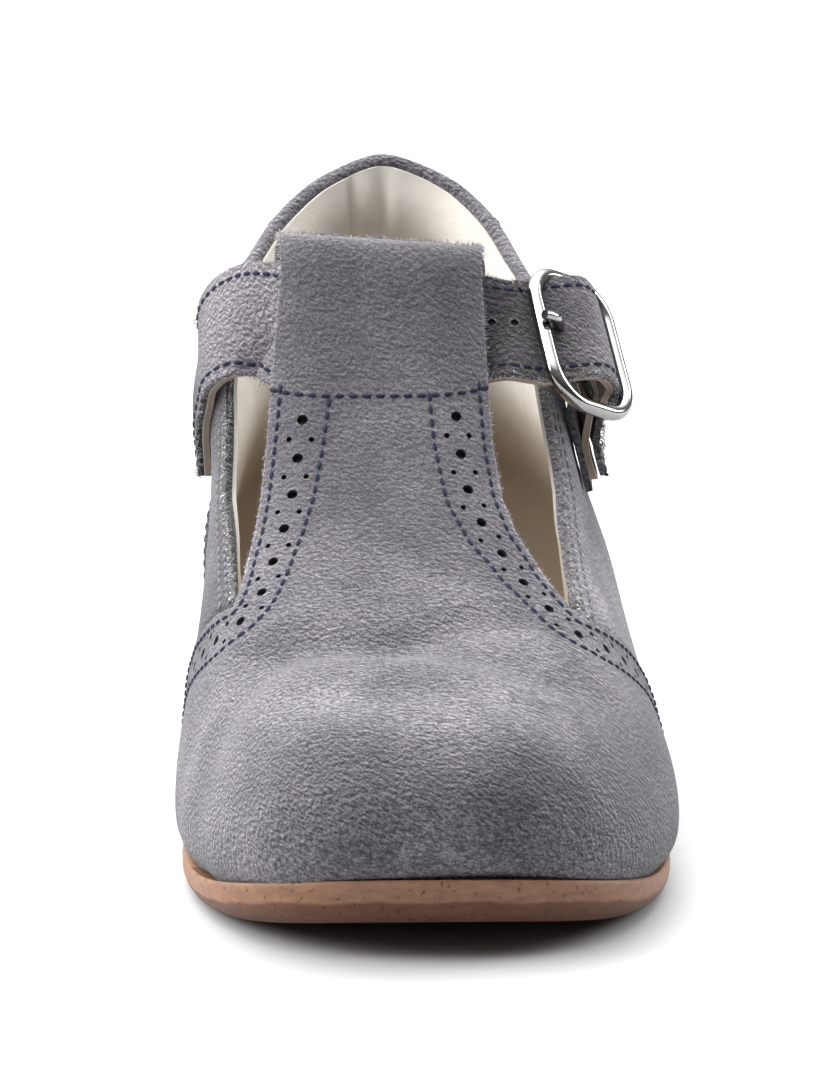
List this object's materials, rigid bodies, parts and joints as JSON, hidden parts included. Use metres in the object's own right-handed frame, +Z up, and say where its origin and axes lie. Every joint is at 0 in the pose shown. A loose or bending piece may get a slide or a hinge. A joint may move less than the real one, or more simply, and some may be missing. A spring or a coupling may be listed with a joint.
{
  "type": "baby shoe",
  "caption": "Left T-bar baby shoe with a hollow suede upper, an instep strap through the folded T-bar, a wire buckle, a heel counter and a thin sole on a low heel.",
  "frame": {"origin": "on the floor, below the middle of the shoe's box", "axes": "+X to the outer, buckled side, +Y from toe to heel, +Z up"},
  "size_m": [0.0604, 0.1367, 0.0707],
  "materials": {
    "suede": "napped grey suede",
    "suede_overlay": "napped grey suede",
    "suede_strap": "napped grey suede",
    "sole_edge": "satin brown edge",
    "heel_stack": "satin tan edge",
    "sock": "matt beige lining leather",
    "silver": "polished"
  },
  "bodies": {
    "root": {"outsole": "sole_edge", "heel": "heel_stack", "insole": "sock", "upper": "suede", "counter": "suede_overlay", "back_tab": "suede_overlay", "strap": "suede_strap", "buckle_tab": "suede_strap", "buckle_frame": "silver", "buckle_prong": "silver"}
  },
  "joints": []
}
